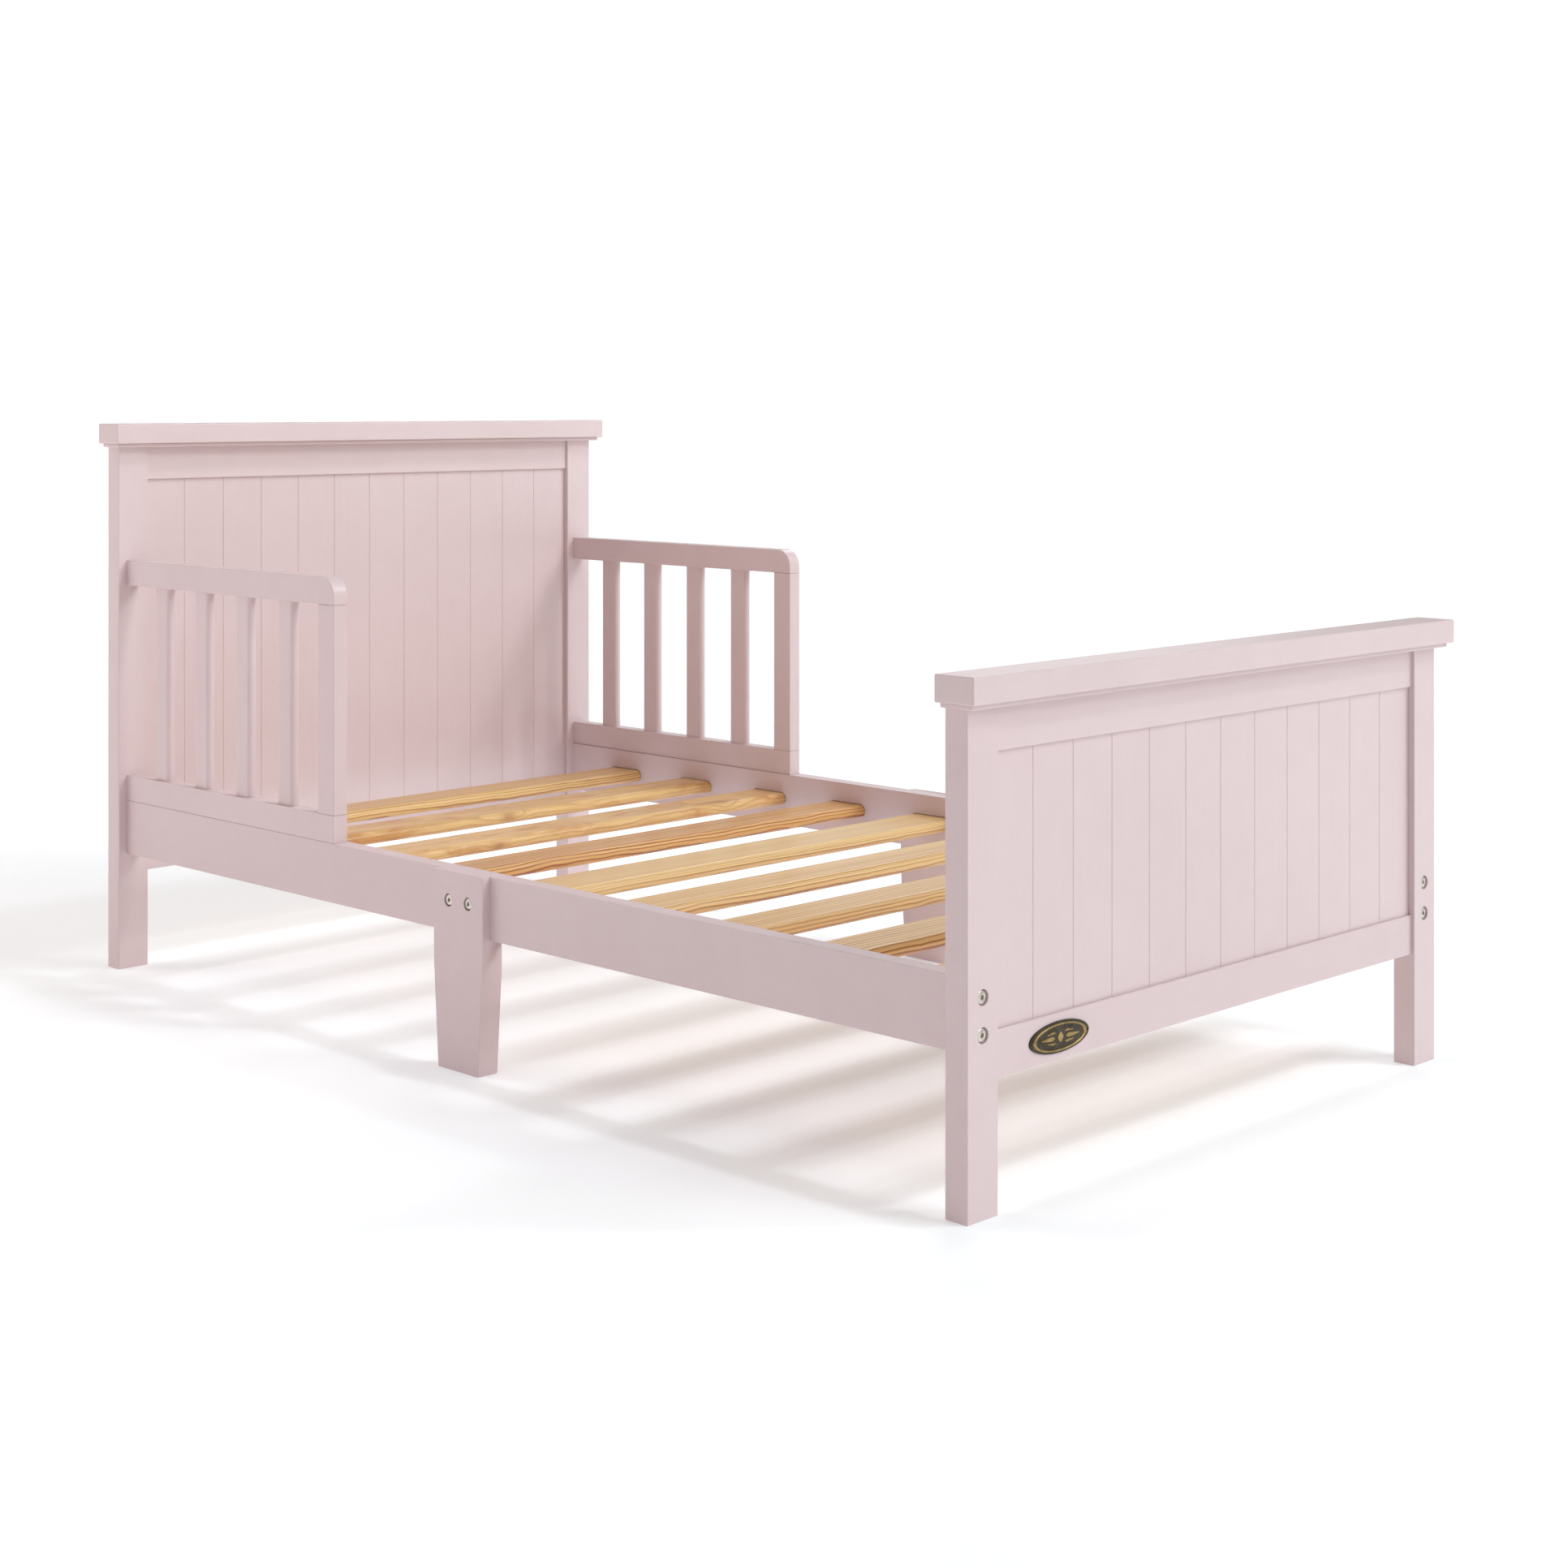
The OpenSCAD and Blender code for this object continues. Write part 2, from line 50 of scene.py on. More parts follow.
# ------------------------------------------------------------------ node tools
class Nodes:
    """Small helper that adds and links shader nodes."""

    def __init__(self, name):
        self.mat = bpy.data.materials.new(name)
        self.mat.use_nodes = True
        self.tree = self.mat.node_tree
        self.tree.nodes.clear()
        self.out = self.tree.nodes.new("ShaderNodeOutputMaterial")
        self.bsdf = self.tree.nodes.new("ShaderNodeBsdfPrincipled")
        self.tree.links.new(self.bsdf.outputs[0], self.out.inputs[0])

    def link(self, value, socket):
        if isinstance(value, bpy.types.NodeSocket):
            self.tree.links.new(value, socket)
        elif value is not None:
            socket.default_value = value

    def add(self, kind, **props):
        n = self.tree.nodes.new(kind)
        for k, v in props.items():
            setattr(n, k, v)
        return n

    def math(self, op, a, b=None, c=None, clamp=False):
        n = self.add("ShaderNodeMath", operation=op, use_clamp=clamp)
        self.link(a, n.inputs[0])
        self.link(b, n.inputs[1])
        self.link(c, n.inputs[2])
        return n.outputs[0]

    def vmath(self, op, a, b=None):
        n = self.add("ShaderNodeVectorMath", operation=op)
        self.link(a, n.inputs[0])
        self.link(b, n.inputs[1])
        return n.outputs[0] if op not in ("DOT_PRODUCT", "LENGTH", "DISTANCE") else n.outputs[1]

    def coords(self):
        return self.add("ShaderNodeTexCoord").outputs["Object"]

    def mapped(self, vec, loc=(0, 0, 0), rot=(0, 0, 0), scale=(1, 1, 1)):
        n = self.add("ShaderNodeMapping")
        self.link(vec, n.inputs["Vector"])
        n.inputs["Location"].default_value = loc
        n.inputs["Rotation"].default_value = rot
        n.inputs["Scale"].default_value = scale
        return n.outputs[0]

    def noise(self, vec, scale=5.0, detail=2.0, rough=0.5, distort=0.0):
        n = self.add("ShaderNodeTexNoise")
        self.link(vec, n.inputs["Vector"])
        n.inputs["Scale"].default_value = scale
        n.inputs["Detail"].default_value = detail
        n.inputs["Roughness"].default_value = rough
        n.inputs["Distortion"].default_value = distort
        return n.outputs["Fac"]

    def voronoi(self, vec, scale=5.0, feature="F1"):
        n = self.add("ShaderNodeTexVoronoi", feature=feature)
        self.link(vec, n.inputs["Vector"])
        n.inputs["Scale"].default_value = scale
        return n.outputs["Distance"]

    def ramp(self, fac, stops, mode="LINEAR"):
        n = self.add("ShaderNodeValToRGB")
        n.color_ramp.interpolation = mode
        els = n.color_ramp.elements
        while len(els) < len(stops):
            els.new(0.5)
        for e, (p, c) in zip(els, stops):
            e.position = p
            e.color = (c, c, c, 1) if isinstance(c, (int, float)) else (*c, 1)
        self.link(fac, n.inputs[0])
        return n.outputs[0]

    def mix(self, fac, a, b, mode="MIX"):
        n = self.add("ShaderNodeMix", data_type="RGBA", blend_type=mode)
        n.clamp_factor = True
        self.link(fac, n.inputs[0])
        for v, s in ((a, n.inputs[6]), (b, n.inputs[7])):
            self.link((*v, 1) if isinstance(v, tuple) and len(v) == 3 else v, s)
        return n.outputs[2]

    def range(self, v, a, b, c, d, clamp=True):
        n = self.add("ShaderNodeMapRange", clamp=clamp)
        self.link(v, n.inputs[0])
        for i, x in enumerate((a, b, c, d)):
            n.inputs[i + 1].default_value = x
        return n.outputs[0]

    def bump(self, height, strength, distance, normal=None):
        n = self.add("ShaderNodeBump")
        n.inputs["Strength"].default_value = strength
        n.inputs["Distance"].default_value = distance
        self.link(height, n.inputs["Height"])
        if normal is not None:
            self.link(normal, n.inputs["Normal"])
        return n.outputs[0]

    def set(self, name, value):
        self.link(value, self.bsdf.inputs[name])


def srgb(r, g, b):
    def f(c):
        c /= 255.0
        return c / 12.92 if c <= 0.04045 else ((c + 0.055) / 1.055) ** 2.4

    return (f(r), f(g), f(b))


# ------------------------------------------------------------------- materials
def make_paint(name, grain=(1, 1, 1), seed=0.0, joints=()):
    """Satin paint on wood: a fine orange peel, a faint trace of the grain
    under it along the board, and slow changes of tone. joints are heights
    (z, y from, y to) where a thin dark line of painted shade marks the shade in a joint's gap."""
    n = Nodes(name)
    c = n.coords()
    p = n.mapped(c, loc=(seed, seed * 0.7, seed * 1.3))
    slow = n.noise(p, 3.2, 3, 0.55)
    mottle = n.noise(p, 42.0, 3, 0.6)
    g = n.mapped(p, scale=grain)
    fibre = n.noise(g, 1.0, 4, 0.6)
    tone = n.math("ADD", n.math("MULTIPLY", slow, 0.55),
                  n.math("ADD", n.math("MULTIPLY", mottle, 0.25),
                         n.math("MULTIPLY", fibre, 0.20)))
    col = n.ramp(tone, [(0.34, PAINT_DARK), (0.50, PAINT_BASE), (0.66, PAINT_LIGHT)])
    # painted shade: a thin dark line along each joint stands in for the shade in its gap, and noise makes it
    # fainter in places
    if joints:
        sep = n.add("ShaderNodeSeparateXYZ")
        n.link(c, sep.inputs[0])
        line = None
        for z0, y0, y1 in joints:
            d = n.math("ABSOLUTE", n.math("SUBTRACT", sep.outputs[2], z0))
            m = n.range(d, 0.22 * MM, 0.55 * MM, 1.0, 0.0)
            m = n.math("MULTIPLY", m, n.math("GREATER_THAN", sep.outputs[1], y0))
            m = n.math("MULTIPLY", m, n.math("LESS_THAN", sep.outputs[1], y1))
            line = m if line is None else n.math("MAXIMUM", line, m)
        joint_shade_breakup = n.range(n.noise(n.mapped(c, scale=(300, 300, 300)), 1.0, 2, 0.5), 0.35, 0.65, 0.34, 0.64)
        col = n.mix(n.math("MULTIPLY", line, joint_shade_breakup), col, PAINT_JOINT_SHADE)
    n.set("Base Color", col)
    n.set("Roughness", n.range(n.math("ADD", n.math("MULTIPLY", mottle, 0.6),
                                      n.math("MULTIPLY", fibre, 0.4)),
                               0.3, 0.7, 0.28, 0.38))
    n.bsdf.inputs["IOR"].default_value = 1.5
    peel = n.noise(p, 520.0, 2, 0.5)
    h = n.math("ADD", n.math("MULTIPLY", peel, 0.35),
               n.math("ADD", n.math("MULTIPLY", fibre, 0.5),
                      n.math("MULTIPLY", mottle, 0.5)))
    n.set("Normal", n.bump(h, 0.14, 0.0006))
    return n.mat


PAINT_BASE = srgb(221.0, 200.2, 201.4)
PAINT_DARK = srgb(218.0, 196.2, 197.4)
PAINT_LIGHT = srgb(224.0, 204.2, 205.4)
PAINT_JOINT_SHADE = srgb(124, 92, 92)

# the board's length runs along Z, Y or X, so the grain under the paint does too
paint_z = make_paint("pink_paint_upright", grain=(420, 420, 14), seed=0.3)
paint_y = make_paint("pink_paint_rail", grain=(420, 14, 420), seed=1.7)
paint_x = make_paint("pink_paint_cross", grain=(14, 420, 420), seed=2.9)
# thin lines of painted shade at the joints: guard rail on side rail, and guard end post between its rails
free_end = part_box("left_guard_end_post")[0].y
inner_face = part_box("left_guard_end_post")[1].y
rail_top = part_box("left_side_rail")[1].z
post_low, post_high = (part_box("left_guard_end_post")[k].z for k in (0, 1))
LINE_RAIL = (rail_top, free_end, 9.0)
LINE_LOW = (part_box("left_guard_bottom_rail")[1].z, -9.0, inner_face)
LINE_HIGH = (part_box("left_guard_top_rail")[0].z, -9.0, inner_face)
paint_rail = make_paint("pink_paint_side_rail", grain=(420, 14, 420), seed=1.7, joints=(LINE_RAIL,))
paint_low = make_paint("pink_paint_guard_low", grain=(420, 14, 420), seed=2.2, joints=(LINE_RAIL, LINE_LOW))
paint_high = make_paint("pink_paint_guard_high", grain=(420, 14, 420), seed=2.6, joints=(LINE_HIGH,))
paint_post = make_paint("pink_paint_guard_post", grain=(420, 420, 14), seed=0.9, joints=(LINE_LOW, LINE_HIGH))


SLAT_Z = 0.1747  # middle of a slat's thickness


def make_pine(name, seed, pith, ring, wave, warm=0.0, contrast=1.0, blotch=0.0, knots=(), edge_y=0.0,
              half=0.031, tone=(255, 255, 255), face=0.8, edge=1.35):
    """Clear lacquered pine. The rings are shells round a pith that runs along
    X, so the top, the round edges and the ends all show the same rings.
    pith is (y, z) in metres from the slat's middle; knots are (x, y, z, r).
    face and edge say how strong the rings look on top and on the round edge."""
    rnd = random.Random(seed)
    n = Nodes(name)
    p = n.coords()
    sep = n.add("ShaderNodeSeparateXYZ")
    n.link(p, sep.inputs[0])
    x, y, z = sep.outputs
    off = (rnd.uniform(3, 40), rnd.uniform(3, 40), rnd.uniform(3, 40))
    # slow waves of the pith along the slat
    wob = n.mapped(p, loc=off, scale=(2.6, 0.5, 0.5))
    w1 = n.math("SUBTRACT", n.noise(wob, 1.0, 2, 0.45), 0.5)
    wob2 = n.mapped(p, loc=(off[1], off[2], off[0]), scale=(2.0, 0.5, 0.5))
    w2 = n.math("SUBTRACT", n.noise(wob2, 1.0, 2, 0.45), 0.5)
    fine = n.mapped(p, loc=off, scale=(10, 24, 24))
    w3 = n.math("SUBTRACT", n.noise(fine, 1.0, 2, 0.5), 0.5)
    yy = n.math("SUBTRACT", n.math("ADD", y, n.math("MULTIPLY", w1, 0.030 * wave)), edge_y + pith[0])
    zz = n.math("SUBTRACT", n.math("ADD", z, n.math("MULTIPLY", w2, 0.016 * wave)), SLAT_Z + pith[1])
    r = n.math("SQRT", n.math("ADD", n.math("MULTIPLY", yy, yy), n.math("MULTIPLY", zz, zz)))
    front = edge_y - half
    bend = n.range(y, front + 0.004, front + 0.014, 0.021 * wave, 0.006 * wave)
    r = n.math("ADD", r, n.math("MULTIPLY", w3, bend))
    dark_knot = None
    for kx, ky, kz, kr in knots:
        # the rings bow round a knot, and its heart is dark
        dx = n.math("MULTIPLY", n.math("SUBTRACT", x, kx), 0.42)
        dy = n.math("SUBTRACT", y, edge_y + ky)
        dz = n.math("SUBTRACT", z, SLAT_Z + kz)
        d2 = n.math("ADD", n.math("MULTIPLY", dx, dx),
                    n.math("ADD", n.math("MULTIPLY", dy, dy), n.math("MULTIPLY", dz, dz)))
        g = n.math("EXPONENT", n.math("MULTIPLY", d2, -1.0 / (2 * kr * kr)))
        r = n.math("ADD", r, n.math("MULTIPLY", g, 1.1 * kr))
        core = n.math("EXPONENT", n.math("MULTIPLY", d2, -1.0 / (0.5 * kr * kr)))
        dark_knot = core if dark_knot is None else n.math("MAXIMUM", dark_knot, core)
    t = n.math("DIVIDE", r, ring * MM)
    # rings differ in width
    rv = n.add("ShaderNodeCombineXYZ")
    n.link(n.math("MULTIPLY", t, 0.37), rv.inputs[0])
    rv.inputs[1].default_value = off[0]
    t = n.math("ADD", t, n.math("MULTIPLY", n.noise(rv.outputs[0], 1.0, 1, 0.5), 1.5))
    f = n.math("FRACT", t)
    # strength of the dark wood differs from ring to ring and along the board
    sv = n.add("ShaderNodeCombineXYZ")
    n.link(n.math("FLOOR", t), sv.inputs[0])
    n.link(n.math("MULTIPLY", x, 1.6), sv.inputs[1])
    sv.inputs[2].default_value = off[2]
    strong = n.range(n.noise(n.vmath("MULTIPLY", sv.outputs[0], (0.71, 1, 1)), 1.0, 1, 0.5),
                     0.3, 0.7, 0.0, 1.0)
    # the dark wood starts sooner in a strong ring and always ends sharply
    start = n.math("SUBTRACT", 0.62, n.math("MULTIPLY", strong, 0.36))
    rise = n.math("DIVIDE", n.math("SUBTRACT", f, start), n.math("SUBTRACT", 0.88, start), clamp=True)
    late = n.math("MULTIPLY", n.math("POWER", rise, 1.5), n.range(f, 0.93, 1.0, 1.0, 0.12))
    late = n.math("MULTIPLY", late, n.math("ADD", 0.42, n.math("MULTIPLY", strong, 0.60)))
    late = n.math("MULTIPLY", late, n.range(y, front + 0.003, front + 0.012, edge, face))
    # fibres: long thin streaks
    fib = n.noise(n.mapped(p, loc=off, scale=(9, 900, 900)), 1.0, 3, 0.6)
    fib2 = n.noise(n.mapped(p, loc=off, scale=(3.2, 260, 260)), 1.0, 3, 0.55)
    broad = n.noise(n.mapped(p, loc=off, scale=(2.2, 16, 16)), 1.0, 2, 0.5)
    early = n.mix(n.range(broad, 0.3, 0.7, 0, 1), PINE_EARLY_A, PINE_EARLY_B)
    early = n.mix(n.range(fib2, 0.35, 0.7, 0, 0.5), early, PINE_STREAK)
    col = n.mix(n.math("MULTIPLY", late, 1.05 * contrast, clamp=True), early, PINE_LATE)
    col = n.mix(n.range(fib, 0.42, 0.62, 0, 0.16), col, PINE_FIBRE)
    if blotch:
        # soft honey-brown clouds where the wood holds resin
        cloud = n.noise(n.mapped(p, loc=(off[2], off[0], off[1]), scale=(14, 36, 48)), 1.0, 3, 0.55, 0.4)
        col = n.mix(n.range(cloud, 0.50, 0.66, 0, 0.85 * blotch), col, PINE_CLOUD)
    if warm:
        col = n.mix(warm, col, PINE_WARM, "MULTIPLY")
    col = n.mix(1.0, col, srgb(*tone), "MULTIPLY")
    if dark_knot is not None:
        col = n.mix(n.math("MULTIPLY", dark_knot, 0.62, clamp=True), col, PINE_KNOT)
    # resin canals: short fine brown dashes
    canal = n.voronoi(n.mapped(p, loc=off, scale=(55, 620, 620)), 1.0)
    col = n.mix(n.range(canal, 0.05, 0.16, 0.40, 0.0), col, PINE_CANAL)
    # painted shade: the lower half of the round edges is darkened, as it is in shade
    col = n.mix(n.range(z, SLAT_Z - 0.0072, SLAT_Z - 0.0012, 0.85, 0.0), col, PINE_LOW_SHADE, "MULTIPLY")
    n.set("Base Color", col)
    n.set("Roughness", n.range(n.math("ADD", n.math("MULTIPLY", late, 0.5),
                                      n.math("MULTIPLY", fib, 0.5)), 0, 1, 0.42, 0.30))
    h = n.math("ADD", n.math("MULTIPLY", late, 0.5), n.math("MULTIPLY", fib, 0.5))
    n.set("Normal", n.bump(h, 0.16, 0.0004))
    n.bsdf.inputs["Coat Weight"].default_value = 0.22
    n.bsdf.inputs["Coat Roughness"].default_value = 0.24
    return n.mat


PINE_EARLY_A = srgb(243, 211, 152)
PINE_EARLY_B = srgb(238, 201, 138)
PINE_STREAK = srgb(226, 186, 120)
PINE_LATE = srgb(172, 108, 48)
PINE_FIBRE = srgb(212, 168, 104)
PINE_CLOUD = srgb(204, 144, 76)
PINE_WARM = srgb(247, 222, 200)
PINE_LOW_SHADE = srgb(234, 208, 176)
PINE_KNOT = srgb(158, 100, 52)
PINE_CANAL = srgb(162, 110, 62)


def make_metal(name, base, dark, rough, scale=260.0, streak=(1, 1, 1), bump=0.08):
    """Plated metal with a fine brushed tone and small stains."""
    n = Nodes(name)
    p = n.coords()
    a = n.noise(n.mapped(p, scale=streak), scale, 4, 0.6)
    b = n.noise(p, 60.0, 3, 0.55)
    f = n.math("ADD", n.math("MULTIPLY", a, 0.6), n.math("MULTIPLY", b, 0.4))
    n.set("Base Color", n.ramp(f, [(0.32, dark), (0.62, base)]))
    n.bsdf.inputs["Metallic"].default_value = 1.0
    n.set("Roughness", n.range(f, 0.3, 0.7, rough + 0.08, rough - 0.05))
    n.set("Normal", n.bump(a, bump, 0.0002))
    return n.mat


steel = make_metal("bolt_steel", srgb(228, 221, 212), srgb(190, 182, 172), 0.30)
zinc = make_metal("insert_zinc", srgb(212, 206, 184), srgb(172, 164, 140), 0.36)
pin_metal = make_metal("dark_pin", srgb(92, 84, 74), srgb(52, 46, 40), 0.38)
bronze = make_metal("antique_bronze_dark", srgb(94, 87, 74), srgb(50, 46, 39), 0.40, 900.0, bump=0.18)
gold = make_metal("antique_bronze_gold", srgb(190, 162, 108), srgb(118, 94, 56), 0.38, 700.0, bump=0.14)


def make_dowel():
    n = Nodes("dowel_beech")
    p = n.coords()
    a = n.noise(n.mapped(p, scale=(520, 520, 30)), 1.0, 3, 0.6)
    flecks = n.voronoi(n.mapped(p, scale=(700, 700, 160)), 1.0)
    col = n.ramp(a, [(0.3, srgb(196, 158, 116)), (0.7, srgb(224, 190, 150))])
    col = n.mix(n.range(flecks, 0.05, 0.25, 0.5, 0), col, srgb(170, 126, 84))
    n.set("Base Color", col)
    n.set("Roughness", n.range(a, 0.3, 0.7, 0.62, 0.5))
    n.set("Normal", n.bump(a, 0.3, 0.0003))
    return n.mat


beech = make_dowel()


# -------------------------------------------------------------------- geometry
def new_piece(name, bm, mats, nodes, smooth=True):
    me = bpy.data.meshes.new(name)
    bm.to_mesh(me)
    bm.free()
    for att in ("custom_normal",):
        if att in me.attributes:
            me.attributes.remove(me.attributes[att])
    while me.uv_layers:
        me.uv_layers.remove(me.uv_layers[0])
    for m in mats:
        me.materials.append(m)
    if smooth:
        me.polygons.foreach_set("use_smooth", [True] * len(me.polygons))
    me.update()
    o = bpy.data.objects.new(name, me)
    bpy.context.scene.collection.objects.link(o)
    if nodes:
        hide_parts(*nodes)
    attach(o, "root")
    return o


def close(a, b, tol=4e-5):
    return abs(a - b) < tol


def refine(node, rule, mat, cuts=(), width=1.5, segments=3, creases=()):
    """Copy of a CAD node with its flat faces joined again and its edges
    eased. rule(mid, direction, lo, hi) gives an edge's easing in mm."""
    lo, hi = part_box(node)
    bm = bmesh.new()
    bm.from_mesh(NODES[node].data)
    bmesh.ops.remove_doubles(bm, verts=bm.verts, dist=2e-6)
    bmesh.ops.dissolve_limit(bm, angle_limit=math.radians(0.4), use_dissolve_boundaries=False,
                             verts=bm.verts, edges=bm.edges, delimit=set())
    for axis, value in cuts:
        co, no = [0, 0, 0], [0, 0, 0]
        co[axis], no[axis] = value, 1
        bmesh.ops.bisect_plane(bm, geom=bm.verts[:] + bm.edges[:] + bm.faces[:], dist=1e-6,
                               plane_co=co, plane_no=no)
    for f in bm.faces:
        f.material_index = 0
    bm.normal_update()
    layer = bm.edges.layers.float.new("bevel_weight_edge")
    for e in bm.edges:
        if len(e.link_faces) != 2:
            e.smooth = False
            continue
        a = e.calc_face_angle_signed()
        mid = (e.verts[0].co + e.verts[1].co) / 2
        if abs(a) < math.radians(25):
            e.smooth = not any(close(mid[ax], v, 2e-4) for ax, v in creases)
            continue
        w = 0.0
        if a > 0:
            d = (e.verts[1].co - e.verts[0].co).normalized()
            w = rule(mid, d, lo, hi)
        if w > 0:
            e[layer] = w / width
            e.smooth = True
        else:
            e.smooth = False
    o = new_piece(node + "_wood", bm, [mat], [node])
    bev = o.modifiers.new("ease", "BEVEL")
    bev.width = width * MM
    bev.segments = segments
    bev.limit_method = "WEIGHT"
    bev.use_clamp_overlap = False
    bev.loop_slide = True
    bev.harden_normals = False
    wn = o.modifiers.new("normals", "WEIGHTED_NORMAL")
    wn.mode = "FACE_AREA"
    wn.weight = 80
    wn.keep_sharp = True
    return o


def planes(mid, lo, hi):
    """For each axis: 0 off the box, -1 on its low side, +1 on its high side."""
    return [(-1 if close(mid[i], lo[i]) else 1 if close(mid[i], hi[i]) else 0) for i in range(3)]


def along(d):
    a = [abs(c) for c in d]
    i = a.index(max(a))
    return i if a[i] > 0.9999 else -1


def rule_post(mid, d, lo, hi):
    p, ax = planes(mid, lo, hi), along(d)
    if ax == 2 and p[0] and p[1]:
        return 1.0
    if ax in (0, 1) and p[2] == -1 and (p[0] or p[1]):
        return 1.0
    if ax in (0, 1) and p[2] == 1 and (p[0] or p[1]):
        return 0.25
    if p[1] and not p[0] and not p[2]:
        return 0.45
    return 0.0


def rule_end_rail(mid, d, lo, hi):
    p, ax = planes(mid, lo, hi), along(d)
    if ax == 0 and p[1] and p[2]:
        return 0.8
    return 0.0


def rule_panel(mid, d, lo, hi):
    p, ax = planes(mid, lo, hi), along(d)
    if ax == 2 and p[1] and not p[0]:
        return 0.4
    return 0.0


def rule_box(w):
    def rule(mid, d, lo, hi):
        p, ax = planes(mid, lo, hi), along(d)
        if ax >= 0 and all(p[i] for i in range(3) if i != ax):
            return w
        return 0.0
    return rule


lo_g, hi_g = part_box("right_guard_bottom_rail")
GUARD_Y = lo_g.y
GUARD_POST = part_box("right_guard_end_post")[1].y
LEG_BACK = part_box("right_side_rail")[1].x
LEG_FRONT, LEG_REAR = (b.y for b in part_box("right_center_leg"))
LEG_Y = (LEG_FRONT + LEG_REAR) / 2
RAIL_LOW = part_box("right_side_rail")[0].z
RAIL_TOP = lo_g.z
GUARD_LOW = hi_g.z


def rule_side_rail(mid, d, lo, hi):
    p, ax = planes(mid, lo, hi), along(d)
    if ax == 1 and p[0] and p[2]:
        if p[2] == 1 and mid.y > GUARD_Y:
            return 0.3
        if abs(mid.x) > LEG_BACK - 0.0005 and LEG_FRONT - 0.0012 < mid.y < LEG_REAR + 0.0012:
            return 0.0
        return 0.9
    if ax in (0, 2) and p[1] and (p[0] or p[2]):
        return 0.2
    if p[0] and not p[2] and not p[1]:
        return 0.35
    if p[2] and not p[0] and not p[1]:
        return 0.3
    return 0.0


def rule_leg(mid, d, lo, hi):
    p, ax = planes(mid, lo, hi), along(d)
    outer = abs(mid.y - LEG_Y) > 0.0325
    if abs(mid.x) < LEG_BACK + 0.0005 and mid.z > RAIL_LOW:
        return 0.0
    if p[0] and (outer or p[2]):
        return 1.0
    if ax == 0 and p[2] == -1:
        return 1.0
    if ax == 0 and p[2] == 1:
        return 0.7
    if ax == 2 and outer:
        return 0.25
    if p[0]:
        return 0.45
    return 0.0


def rule_guard_top(mid, d, lo, hi):
    p, ax = planes(mid, lo, hi), along(d)
    if p[0]:
        if p[2] == -1:
            return 0.25 if mid.y < GUARD_POST else 0.8
        if p[1] == 1:
            return 0.2
        return 1.3
    if ax == 0 and p[2] == -1 and p[1] == -1:
        return 0.25
    return 0.0


def rule_guard_bottom(mid, d, lo, hi):
    p, ax = planes(mid, lo, hi), along(d)
    if ax == 1 and p[0] and p[2]:
        if p[2] == -1:
            return 0.3
        return 0.25 if mid.y < GUARD_POST else 0.8
    if ax == 2 and p[0] and p[1]:
        return 1.2 if p[1] == -1 else 0.2
    if ax == 0 and p[1] == -1 and p[2]:
        return 0.3
    return 0.0


def rule_guard_post(mid, d, lo, hi):
    p, ax = planes(mid, lo, hi), along(d)
    if ax == 2 and p[0] and p[1]:
        return 1.2
    if ax in (0, 1) and (p[0] or p[1]) and not p[2]:
        return 0.25
    return 0.0


def no_ease(mid, d, lo, hi):
    return 0.0


for end in ("headboard", "footboard"):
    for side in ("left", "right"):
        refine(f"{end}_{side}_post", rule_post, paint_z, width=1.0)
    refine(f"{end}_top_rail", rule_end_rail, paint_x, width=1.0)
    refine(f"{end}_bottom_rail", rule_end_rail, paint_x, width=1.0)
    refine(f"{end}_panel", rule_panel, paint_z, width=0.4, segments=2)
    refine(f"{end}_cap_molding", rule_box(1.0), paint_x, width=1.0)
    refine(f"{end}_cap", rule_box(1.6), paint_x, width=1.6, segments=4)
for side in ("left", "right"):
    refine(f"{side}_side_rail", rule_side_rail, paint_rail,
           cuts=[(1, GUARD_Y), (1, LEG_FRONT - 0.0012), (1, LEG_FRONT), (1, LEG_REAR), (1, LEG_REAR + 0.0012)],
           width=0.9)
    refine(f"{side}_center_leg", rule_leg, paint_z, width=1.0, creases=[(2, 0.112)])
    refine(f"{side}_guard_top_rail", rule_guard_top, paint_high,
           cuts=[(1, GUARD_POST)], width=1.3, segments=4)
    refine(f"{side}_guard_bottom_rail", rule_guard_bottom, paint_low,
           cuts=[(1, GUARD_POST)], width=1.2)
    refine(f"{side}_guard_end_post", rule_guard_post, paint_post, width=1.2)
    for i in range(1, 5):
        refine(f"{side}_guard_spindle_{i}", no_ease, paint_z)

